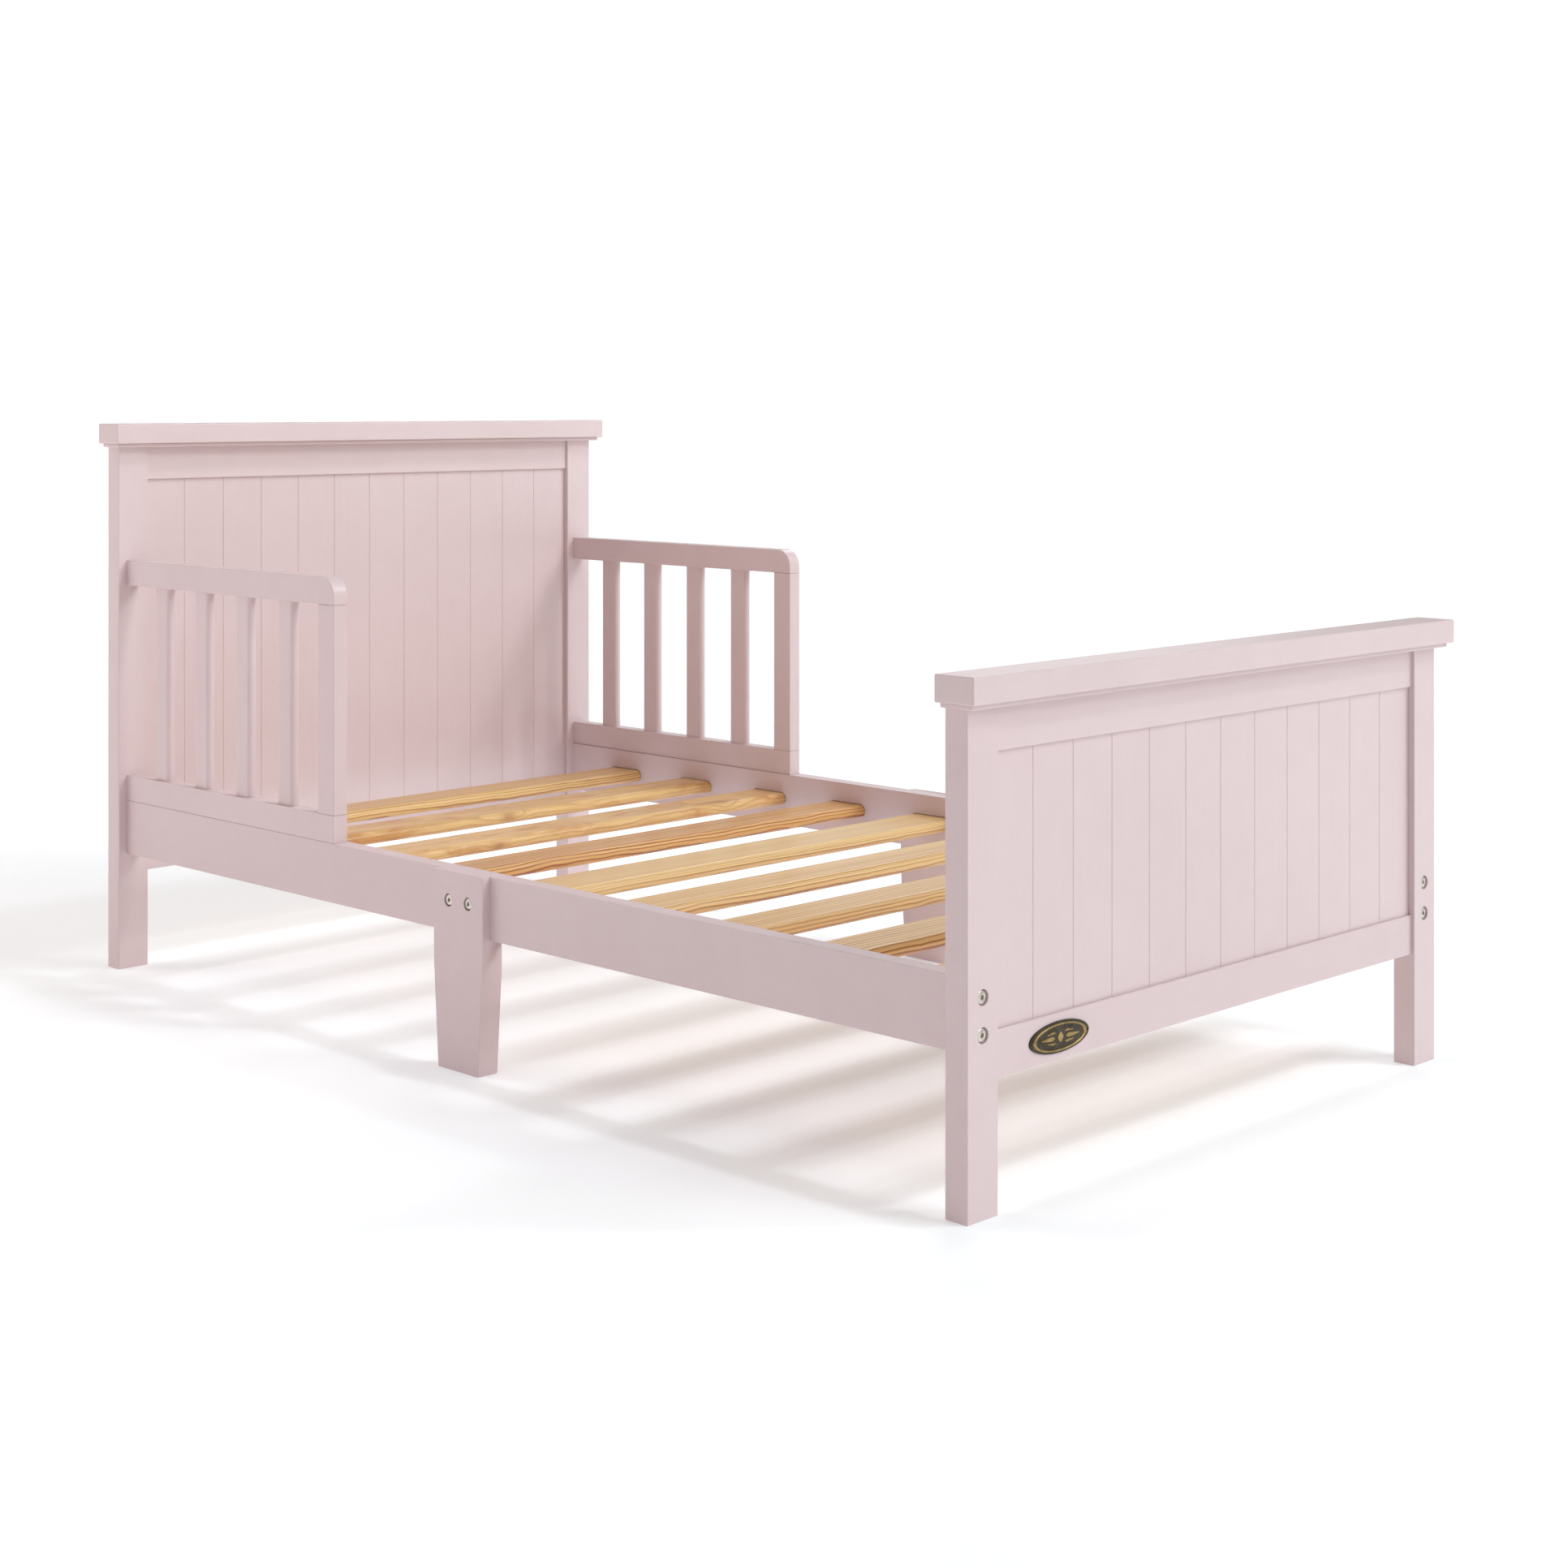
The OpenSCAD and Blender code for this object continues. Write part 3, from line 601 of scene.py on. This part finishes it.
# slats: quarter-sawn ones show tight straight lines on top and broad stripes on
# the round edge; the second and third are plain-sawn, with knots and clouds
SLATS = {
    1: dict(pith=(-0.150, -0.165), ring=3.6, wave=0.30, warm=0.15, contrast=1.05, tone=(247, 243, 236), face=1.25),
    2: dict(pith=(0.010, -0.070), ring=6.5, wave=0.80, warm=0.10, contrast=0.35, blotch=0.9, tone=(247, 241, 234),
            knots=((-0.24, -0.028, -0.002, 0.007), (0.00, -0.030, 0.002, 0.008))),
    3: dict(pith=(-0.008, -0.060), ring=6.0, wave=1.00, warm=0.15, contrast=0.45, blotch=0.8, tone=(250, 245, 244),
            knots=((-0.13, -0.030, -0.001, 0.006), (0.24, -0.020, 0.006, 0.010))),
    4: dict(pith=(-0.105, -0.125), ring=4.4, wave=0.55, warm=0.65, contrast=1.15, tone=(246, 237, 226), face=1.0, edge=1.45),
    5: dict(pith=(-0.160, -0.170), ring=2.3, wave=0.18, warm=0.10, contrast=0.75, half=0.036, tone=(257, 258, 263), face=0.9),
    6: dict(pith=(-0.140, -0.160), ring=3.6, wave=0.32, warm=0.20, contrast=0.95, tone=(258, 258, 262), face=1.1, edge=1.25),
    7: dict(pith=(-0.135, -0.150), ring=4.0, wave=0.45, warm=0.25, contrast=0.95, tone=(257, 258, 261), face=1.35, edge=1.2),
    8: dict(pith=(-0.100, -0.120), ring=4.8, wave=0.65, warm=0.30, contrast=1.15, tone=(252, 249, 238), face=1.0),
    9: dict(pith=(-0.130, -0.150), ring=3.6, wave=0.40, warm=0.20),
}
for i, wood in SLATS.items():
    lo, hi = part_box(f"slat_{i}")
    m = make_pine(f"natural_pine_{i}", 100 + i, edge_y=(lo.y + hi.y) / 2, **wood)
    refine(f"slat_{i}", no_ease, m)


# --------------------------------------------------------------------- bolts
def ring_points(kind, r, z, n=48):
    pts = []
    for k in range(n):
        a = 2 * math.pi * k / n
        rr = r
        if kind == "hex":
            rr = r * math.cos(math.pi / 6) / math.cos((a % (math.pi / 3)) - math.pi / 6)
        pts.append((rr * math.cos(a), rr * math.sin(a), z))
    return pts


def bridge(bm, rings, cap_start=True, cap_end=True):
    loops = [[bm.verts.new(p) for p in ring] for ring in rings]
    n = len(loops[0])
    for a, b in zip(loops, loops[1:]):
        for k in range(n):
            bm.faces.new((a[k], a[(k + 1) % n], b[(k + 1) % n], b[k]))
    if cap_start:
        bm.faces.new(list(reversed(loops[0])))
    if cap_end:
        bm.faces.new(loops[-1])
    return loops


def bolt_mesh(bm, length, hr=6.2, hh=3.5, turn=0.0):
    """Button-head bolt along +Z with its seat at z = 0, in mm."""
    start = len(bm.verts)
    head = [("c", 2.9, 0.0), ("c", hr - 0.35, 0.0), ("c", hr - 0.06, 0.12), ("c", hr, 0.38),
            ("c", hr, hh * 0.55)]
    for k in range(1, 9):
        a = math.radians(90 * k / 9.0)
        head.append(("c", hr - 1.5 + 1.5 * math.cos(a), hh * 0.55 + hh * 0.37 * math.sin(a)))
    head += [("c", hr - 1.9, hh * 0.935), ("c", 3.9, hh * 0.97), ("c", 3.4, hh * 0.99)]
    head += [("c", 3.0, hh), ("hex", 2.62, hh - 0.05), ("hex", 2.36, hh - 0.35),
             ("hex", 2.30, hh - 2.4), ("hex", 1.2, hh - 2.75)]
    bridge(bm, [ring_points(k, r, z) for k, r, z in head])
    shank = [("c", 2.9, 0.0), ("c", 2.9, -length * 0.35)]
    z = -length * 0.35
    while z > -length + 1.3:
        shank += [("c", 2.42, z - 0.42), ("c", 2.9, z - 0.84)]
        z -= 0.84
    shank += [("c", 2.4, z - 0.4), ("c", 2.1, -length)]
    bridge(bm, [list(reversed(ring_points(k, r, zz, 24))) for k, r, zz in shank])
    bm.verts.ensure_lookup_table()
    new = bm.verts[start:]
    if turn:
        c, s = math.cos(turn), math.sin(turn)
        for v in new:
            v.co = Vector((v.co.x * c - v.co.y * s, v.co.x * s + v.co.y * c, v.co.z))
    return new


def place(verts, origin, axis):
    """Turns +Z to axis, scales mm to m and moves to origin (m)."""
    q = Vector((0, 0, 1)).rotation_difference(Vector(axis))
    for v in verts:
        v.co = q @ (v.co * MM) + Vector(origin)


def shade_by_angle(o, degrees=32):
    bm = bmesh.new()
    bm.from_mesh(o.data)
    for e in bm.edges:
        e.smooth = len(e.link_faces) == 2 and e.calc_face_angle(0) < math.radians(degrees)
    bm.to_mesh(o.data)
    bm.free()


def parts_of(node):
    """Boxes of the separate solids in a CAD node."""
    bm = bmesh.new()
    bm.from_mesh(NODES[node].data)
    bmesh.ops.remove_doubles(bm, verts=bm.verts, dist=2e-6)
    seen, found = set(), []
    for v in bm.verts:
        if v in seen:
            continue
        stack, group = [v], []
        seen.add(v)
        while stack:
            w = stack.pop()
            group.append(w.co.copy())
            for e in w.link_edges:
                o = e.other_vert(w)
                if o not in seen:
                    seen.add(o)
                    stack.append(o)
        found.append((Vector([min(c[i] for c in group) for i in range(3)]),
                      Vector([max(c[i] for c in group) for i in range(3)])))
    bm.free()
    return sorted(found, key=lambda b: tuple(round(c, 4) for c in b[0]))


BOLTS = {
    "headboard_bolts": ((0, 1, 0), 40.0, 6.2, 3.5),
    "footboard_bolts": ((0, -1, 0), 40.0, 6.2, 3.5),
    "center_leg_bolts": ((1, 0, 0), 13.5, 5.9, 3.4),
    "guard_rail_bolts": (None, 0, 0, 0),
}
turns = random.Random(5)
for node, (axis, length, hr, hh) in BOLTS.items():
    bm = bmesh.new()
    for lo, hi in parts_of(node):
        mid, size = (lo + hi) / 2, hi - lo
        a, l, r, h = axis, length, hr, hh
        if node == "guard_rail_bolts":
            if size.y > size.z:
                a, l, r, h = (0, 1, 0), 40.0, 6.2, 3.5
            else:
                a, l, r, h = (0, 0, -1), 60.0, 5.2, 4.5
        if node == "center_leg_bolts" and mid.x < 0:
            a = (-1, 0, 0)
        av = Vector(a)
        tip = Vector([hi[i] if av[i] > 0 else lo[i] if av[i] < 0 else mid[i] for i in range(3)])
        place(bolt_mesh(bm, l, r, h, turns.uniform(0, 1.04)), tip - av * h * MM, a)
    o = new_piece(node + "_steel", bm, [steel], [node])
    shade_by_angle(o)

# hidden hardware stays as the CAD made it, with its own finish
for node, mat in (("side_rail_inserts", zinc), ("center_leg_inserts", zinc), ("guard_rail_inserts", zinc),
                  ("headboard_cap_dowels", beech), ("footboard_cap_dowels", beech),
                  ("guard_rail_dowels", beech)):
    me = NODES[node].data
    me.materials.clear()
    me.materials.append(mat)

# ---------------------------------------------------------------- name plate
lo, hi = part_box("name_plate")
pc = Vector(((lo.x + hi.x) / 2, hi.y, (lo.z + hi.z) / 2))      # back face, middle
pw, ph, pt = (hi.x - lo.x) / MM, (hi.z - lo.z) / MM, (hi.y - lo.y) / MM


def plate_ring(inset_a, inset_b, h, n=128):
    a, b = pw / 2 - inset_a, ph / 2 * (1 - inset_b / 15.9)
    return [(a * math.cos(2 * math.pi * k / n), b * math.sin(2 * math.pi * k / n), h) for k in range(n)]


bm = bmesh.new()
prof = [(0, 0, 0), (0, 0, 0.9), (0.12, 0.12, 1.3), (0.5, 0.45, 1.6), (3.9, 1.9, 1.62),
        (4.3, 2.05, 1.7), (4.7, 2.2, 2.15), (5.0, 2.4, 2.52), (5.6, 2.75, 2.74), (6.4, 3.1, pt),
        (7.2, 3.45, 2.72), (7.8, 3.75, 2.45), (8.15, 3.95, 2.05), (8.35, 4.15, 1.68),
        (8.8, 4.5, 1.6), (11.0, 5.4, 1.62), (18, 8, 1.78), (28, 11.5, 1.9), (38, 14.6, 1.95)]
loops = bridge(bm, [plate_ring(*p) for p in prof])
bm.faces.ensure_lookup_table()
bm.faces.index_update()
gold_rows = set(range(5, 13))
for f in bm.faces:
    row = f.index // 128
    f.material_index = 1 if (f.index < 128 * (len(prof) - 1) and row in gold_rows) else 0


def relief(points, z0, z1, inset):
    """Raised flat ornament with a sloped edge, in mm."""
    cx = sum(p[0] for p in points) / len(points)
    cy = sum(p[1] for p in points) / len(points)

    def shrink(d):
        out = []
        for x, y in points:
            l = math.hypot(x - cx, y - cy)
            k = max(0.0, 1 - d / l)
            out.append((cx + (x - cx) * k, cy + (y - cy) * k))
        return out
    rings = [[(x, y, z) for x, y in shrink(d)] for d, z in
             ((0, z0), (0.05, z1 - 0.35), (inset * 0.45, z1 - 0.1), (inset, z1))]
    for r in rings:
        if sum(r[i][0] * r[(i + 1) % len(r)][1] - r[(i + 1) % len(r)][0] * r[i][1] for i in range(len(r))) < 0:
            r.reverse()
    first = len(bm.faces)
    bridge(bm, rings)
    bm.faces.ensure_lookup_table()
    for f in bm.faces[first:]:
        f.material_index = 1


def rounded(points, steps=5, k=0.28):
    """Outline with its corners rounded off."""
    out, n = [], len(points)
    for i in range(n):
        a, b, c = (Vector(points[(i + j) % n]) for j in (-1, 0, 1))
        p, q = b + (a - b) * k, b + (c - b) * k
        for s in range(steps + 1):
            t = s / steps
            v = (1 - t) ** 2 * p + 2 * t * (1 - t) * b + t * t * q
            out.append((v.x, v.y))
    return out


# a plain lozenge with leaf-shaped bars: one long pair and four short slanting ones
relief(rounded([(-4.6, 0), (0, -5.4), (4.6, 0), (0, 5.4)]), 1.7, 2.76, 1.3)
for s in (-1, 1):
    relief(rounded([(s * 7.0, 0), (s * 11.5, 2.3), (s * 26.5, 0.5), (s * 26.5, -0.5), (s * 11.5, -2.3)]),
           1.6, 2.6, 0.8)
    for t in (-1, 1):
        relief(rounded([(s * 5.6, t * 4.2), (s * 9.4, t * 6.3), (s * 18.5, t * 4.3), (s * 18.2, t * 3.5),
                        (s * 9.6, t * 3.6)]), 1.6, 2.45, 0.6)
for v in bm.verts:
    v.co = Vector((pc.x + v.co.x * MM, pc.y - v.co.z * MM, pc.z + v.co.y * MM))
bmesh.ops.recalc_face_normals(bm, faces=bm.faces)
plate = new_piece("name_plate_oval", bm, [bronze, gold], ["name_plate"])
shade_by_angle(plate, 40)

bm = bmesh.new()
for plo, phi in parts_of("name_plate_pins"):
    mid = (plo + phi) / 2
    start = len(bm.verts)
    prof = [(0.05, -9.35), (0.8, -8.6), (0.8, 0.0), (1.3, 0.0), (1.28, 0.12), (1.18, 0.32),
            (0.95, 0.47), (0.6, 0.56), (0.2, 0.6)]
    bridge(bm, [ring_points("c", r, z, 32) for r, z in prof])
    bm.verts.ensure_lookup_table()
    place(bm.verts[start:], (mid.x, plo.y + 0.6 * MM, mid.z), (0, -1, 0))
pins = new_piece("name_plate_pins_metal", bm, [pin_metal], ["name_plate_pins"])
shade_by_angle(pins)

# ---------------------------------------------------------------------- floor
bm = bmesh.new()
bmesh.ops.create_grid(bm, x_segments=40, y_segments=40, size=60.0)
me = bpy.data.meshes.new("floor")
bm.to_mesh(me)
bm.free()
floor = bpy.data.objects.new("floor", me)
bpy.context.scene.collection.objects.link(floor)
n = Nodes("studio_floor")
p = n.coords()
tone = n.noise(p, 0.7, 2, 0.5)
n.set("Base Color", n.ramp(tone, [(0.3, (0.915, 0.924, 0.940)), (0.7, (0.925, 0.934, 0.950))]))
n.bsdf.inputs["Roughness"].default_value = 0.9
n.bsdf.inputs["Specular IOR Level"].default_value = 0.1
n.bsdf.inputs["Emission Strength"].default_value = 1.0
# the lamps fade with distance, the white floor doesn't
away = n.vmath("LENGTH", p)
# painted light: within 0.3 m of the middle, under the bed, the floor glows a little more
glow = n.mix(n.range(away, 0.30, 0.75, 0, 1), (0.259, 0.264, 0.267), (0.224, 0.229, 0.231))
glow = n.mix(n.range(away, 2.2, 5.0, 0, 1), glow, (0.440, 0.440, 0.440))
glow = n.mix(n.range(away, 4.0, 12.0, 0, 1), glow, (0.560, 0.545, 0.535))
sep = n.add("ShaderNodeSeparateXYZ")
n.link(p, sep.inputs[0])
fx, fy = n.math("ABSOLUTE", sep.outputs[0]), sep.outputs[1]


def patch(y0, y1, soft, x1):
    """1 between y0 and y1 and up to x1 from the middle line, with soft borders."""
    m = n.math("MULTIPLY", n.range(fy, y0 - soft, y0 + soft, 0, 1), n.range(fy, y1 - soft, y1 + soft, 1, 0))
    return n.math("MULTIPLY", m, n.range(fx, x1 - 0.12, x1 + 0.12, 1, 0))


# painted light on the floor: glowing patches under the head half of the slats, under and behind the headboard, and
# under the footboard
glow = n.mix(patch(-0.02, 0.62, 0.12, 0.40), glow, (0.0, 0.048, 0.082), "ADD")
glow = n.mix(patch(0.62, 1.18, 0.10, 0.70), glow, (0.052, 0.055, 0.045), "ADD")
glow = n.mix(patch(-0.78, -0.58, 0.08, 0.45), glow, (0.010, 0.035, 0.045), "ADD")
# painted shadow: this patch takes light away under the foot half of the slats
glow = n.mix(patch(-0.46, -0.08, 0.10, 0.45), glow, (0.070, 0.050, 0.030), "SUBTRACT")
n.set("Emission Color", glow)
me.materials.append(n.mat)

# --------------------------------------------------------------------- lights
# A white room seen from above: a soft key from the front right, a small lamp
# over the slats, weak panels all round and a floor that glows a little.
world = bpy.data.worlds.new("studio")
bpy.context.scene.world = world
world.use_nodes = True
wt = world.node_tree
wt.nodes.clear()
wo = wt.nodes.new("ShaderNodeOutputWorld")
bg = wt.nodes.new("ShaderNodeBackground")
seen = wt.nodes.new("ShaderNodeBackground")
bg.inputs["Color"].default_value = (1.0, 0.945, 0.935, 1)
bg.inputs["Strength"].default_value = 0.184
seen.inputs["Color"].default_value = (1, 1, 1, 1)
seen.inputs["Strength"].default_value = 1.05
lp = wt.nodes.new("ShaderNodeLightPath")
ms = wt.nodes.new("ShaderNodeMixShader")
wt.links.new(lp.outputs["Is Camera Ray"], ms.inputs[0])
wt.links.new(bg.outputs[0], ms.inputs[1])
wt.links.new(seen.outputs[0], ms.inputs[2])
wt.links.new(ms.outputs[0], wo.inputs[0])

PANELS = [  # azimuth, elevation, angular size, share, tint
    (292.5, 30, 24, 0.225, (0.94, 1, 1)), (300.0, 50, 24, 0.109, (0.93, 1, 1)),
    (90.0, 10, 24, 0.086, (1, 1, 1)), (270.0, 10, 24, 0.071, (0.90, 1, 1)),
    (112.5, 30, 24, 0.067, (1, 1, 0.99)), (0.0, 90, 24, 0.046, (0.95, 1, 0.98)),
    (22.5, 30, 24, 0.045, (0.98, 1, 0.98)), (45.0, 10, 24, 0.031, (1, 1, 1)),
    (337.5, 30, 24, 0.025, (0.95, 1, 1)), (240.0, 50, 24, 0.037, (1, 0.81, 0.81)),
    (247.5, 30, 24, 0.019, (1, 0.72, 0.80)), (315.0, 30, 13, 0.047, (0.82, 0.97, 1)),
    (157.5, 30, 24, 0.018, (1, 0.75, 0.75)), (45.0, 70, 24, 0.009, (0.8, 1, 0.85)),
]
for i, (az, el, angle, share, tint) in enumerate(PANELS):
    li = bpy.data.lights.new("panel_%02d" % i, "SUN")
    li.energy = 3.0 * share
    li.angle = math.radians(angle)
    li.color = tint
    o = bpy.data.objects.new("panel_%02d" % i, li)
    bpy.context.scene.collection.objects.link(o)
    a, e = math.radians(az), math.radians(el)
    v = Vector((math.cos(e) * math.cos(a), math.cos(e) * math.sin(a), math.sin(e)))
    o.rotation_euler = v.to_track_quat("Z", "Y").to_euler()

LAMPS = [  # place, radius, share, tint
    ((2.30, -3.20, 3.60), 0.20, 0.093, (0.945, 0.99, 1)), ((0.10, -0.30, 2.20), 0.10, 0.084, (0.90, 0.94, 1)),
    ((2.50, 1.50, 2.50), 0.50, 0.067, (0.985, 0.985, 1)), ((-1.20, 1.60, 2.20), 0.30, 0.062, (1, 0.965, 0.945)),
    ((0.33, -0.65, 2.90), 0.10, 0.070, (0.90, 0.95, 1)), ((-2.50, 2.50, 1.20), 0.60, 0.068, (1, 0.88, 0.84)),
    ((7.40, -7.60, 10.0), 0.55, 0.035, (0.89, 0.97, 1)), ((-3.00, 1.50, 1.50), 0.60, 0.038, (1, 0.78, 0.76)),
    ((2.00, -2.00, 1.00), 0.40, 0.032, (0.75, 1, 0.94)), ((-1.50, 2.00, 1.50), 0.40, 0.024, (0.96, 1, 0.9)),
    ((0.45, -0.45, 4.20), 0.12, 0.016, (0.75, 0.88, 1)),
]
for i, (at, radius, share, tint) in enumerate(LAMPS):
    li = bpy.data.lights.new("lamp_%02d" % i, "POINT")
    li.energy = 4 * math.pi ** 2 * Vector(at).length_squared * share
    li.shadow_soft_size = radius
    li.color = tint
    o = bpy.data.objects.new("lamp_%02d" % i, li)
    bpy.context.scene.collection.objects.link(o)
    o.location = at
    o.visible_camera = False

# --------------------------------------------------------------------- camera
cam = bpy.data.cameras.new("camera")
cam.sensor_width = 36.0
cam.lens = 57.87
cam.shift_x = 0.0
cam.shift_y = -0.24574
cam.dof.use_dof = False
cam.clip_start = 0.05
cam.clip_end = 200
co = bpy.data.objects.new("camera", cam)
bpy.context.scene.collection.objects.link(co)
co.location = (-2.0048, -2.07443, 0.70006)
co.rotation_euler = (math.radians(90), 0, math.radians(-45.347))
bpy.context.scene.camera = co

bpy.context.scene.view_settings.view_transform = "Standard"
bpy.context.scene.view_settings.look = "None"
bpy.context.scene.view_settings.exposure = 0.0
bpy.context.scene.view_settings.gamma = 1.0
